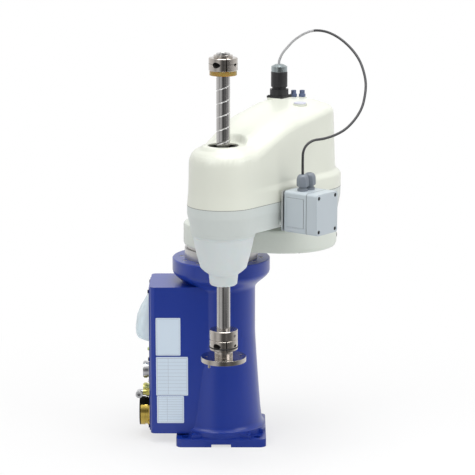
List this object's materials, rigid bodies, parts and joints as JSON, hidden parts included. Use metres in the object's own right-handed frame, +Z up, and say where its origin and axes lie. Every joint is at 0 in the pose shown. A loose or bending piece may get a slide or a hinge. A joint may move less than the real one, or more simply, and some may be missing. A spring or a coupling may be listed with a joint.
{
  "type": "scara robot",
  "caption": "Table-top SCARA robot: column base, two swinging arms and a ball screw spline shaft that lifts and turns a tool flange.",
  "frame": {"origin": "shoulder axis at the underside of the foot plate", "axes": "+Z up along the shoulder axis, +X from the connector box to the front, along arm 1 at rest"},
  "size_m": [0.4433, 0.372, 0.8015],
  "materials": {
    "blue_paint": "smooth blue enamel on cast metal",
    "cream_paint": "satin warm white enamel",
    "cream_plastic": "satin warm white moulding",
    "funnel_plastic": "matt cool white moulding",
    "ground_steel": "ground steel",
    "dark_steel": "blackened steel",
    "bare_aluminium": "machined aluminium",
    "motor_black": "black motor paint",
    "plated_brass": "yellow plated metal",
    "yellow_zinc": "yellow zinc plating",
    "black_plastic": "black moulding",
    "grey_plastic": "blue grey moulding",
    "box_plastic": "pale grey moulding",
    "bag_film": "soft clear film",
    "cable_jacket": "black cable jacket",
    "belt_rubber": "black toothed belt",
    "amber_urethane": "amber urethane"
  },
  "bodies": {
    "base": {"base_casting": "blue_paint", "connector_panel": "blue_paint", "panel_screws": "dark_steel", "power_connector": "plated_brass", "power_cap": "black_plastic", "encoder_connector": "bare_aluminium", "io_connector": "yellow_zinc", "elbow_fitting": "bare_aluminium", "dust_bag": "bag_film", "flange_bolts": "dark_steel", "j1_motor": "motor_black", "j1_motor_plate": "bare_aluminium", "j1_reducer": "ground_steel"},
    "arm_1": {"arm1_casting": "cream_paint", "arm1_bottom_cover": "cream_paint", "arm1_screws": "dark_steel", "j1_output_flange": "ground_steel", "j2_output_flange": "ground_steel"},
    "arm_2": {"arm2_casting": "cream_paint", "arm2_cover": "cream_plastic", "cover_screws": "ground_steel", "funnel_cover": "funnel_plastic", "shaft_wiper": "black_plastic", "j2_reducer": "ground_steel", "j2_motor": "motor_black", "nut_bridge": "bare_aluminium", "nut_bearings": "ground_steel", "z_motor": "motor_black", "t_motor": "motor_black", "motor_brackets": "bare_aluminium", "z_belt": "belt_rubber", "t_belt": "belt_rubber", "top_receptacle": "black_plastic", "cable_plug": "black_plastic", "plug_clamp": "dark_steel", "air_fittings": "black_plastic", "cover_cap": "grey_plastic", "box_bracket": "ground_steel", "box_body": "box_plastic", "box_lid": "box_plastic", "lid_screws": "dark_steel", "cable_gland": "grey_plastic", "blank_gland": "grey_plastic", "signal_cable": "cable_jacket"},
    "z_motor_drive": {"z_motor_pulley": "bare_aluminium"},
    "t_motor_drive": {"t_motor_pulley": "bare_aluminium"},
    "spline_unit": {"spline_nut": "ground_steel", "t_pulley": "bare_aluminium"},
    "screw_unit": {"screw_nut": "ground_steel", "z_pulley": "bare_aluminium"},
    "quill": {"shaft": "ground_steel", "top_stopper": "ground_steel", "stopper_bumper": "amber_urethane", "end_ring": "ground_steel", "lower_stopper": "ground_steel", "clamp_collar": "ground_steel", "collar_screws": "dark_steel", "tool_flange": "ground_steel", "tool_pin": "ground_steel"}
  },
  "joints": [
    {"name": "shoulder", "type": "hinge", "parent": "base", "child": "arm_1", "pos_m": [0, 0, 0.381], "axis": [0, 0, 1], "range_deg": [-155, 155]},
    {"name": "elbow", "type": "hinge", "parent": "arm_1", "child": "arm_2", "pos_m": [0.125, 0, 0.4376], "axis": [0, 0, 1], "range_deg": [-13, 257]},
    {"name": "shaft_turn", "type": "hinge", "parent": "arm_2", "child": "spline_unit", "pos_m": [0.00577, -0.19081, 0.461], "axis": [0, 0, 1], "range_deg": [-360, 360]},
    {"name": "shaft_stroke", "type": "slide", "parent": "spline_unit", "child": "quill", "axis": [0, 0, 1], "range_m": [-0.117, 0.083]},
    {"name": "screw_nut_turn", "type": "hinge", "parent": "spline_unit", "child": "screw_unit", "pos_m": [0.00577, -0.19081, 0.561], "axis": [0, 0, 1], "range_deg": [-1200, 1690]},
    {"name": "z_motor_turn", "type": "hinge", "parent": "arm_2", "child": "z_motor_drive", "pos_m": [0.09215, -0.10918, 0.55], "axis": [0, 0, 1], "range_deg": [-2400, 3380]},
    {"name": "t_motor_turn", "type": "hinge", "parent": "arm_2", "child": "t_motor_drive", "pos_m": [0.04392, -0.07315, 0.5], "axis": [0, 0, 1], "range_deg": [-725, 725]}
  ],
  "couplings": [
    {"joint": "screw_nut_turn", "follows": "shaft_stroke", "rad_per_m": -251.33},
    {"joint": "z_motor_turn", "follows": "shaft_stroke", "rad_per_m": -502.65},
    {"joint": "t_motor_turn", "follows": "shaft_turn", "ratio": 2}
  ]
}
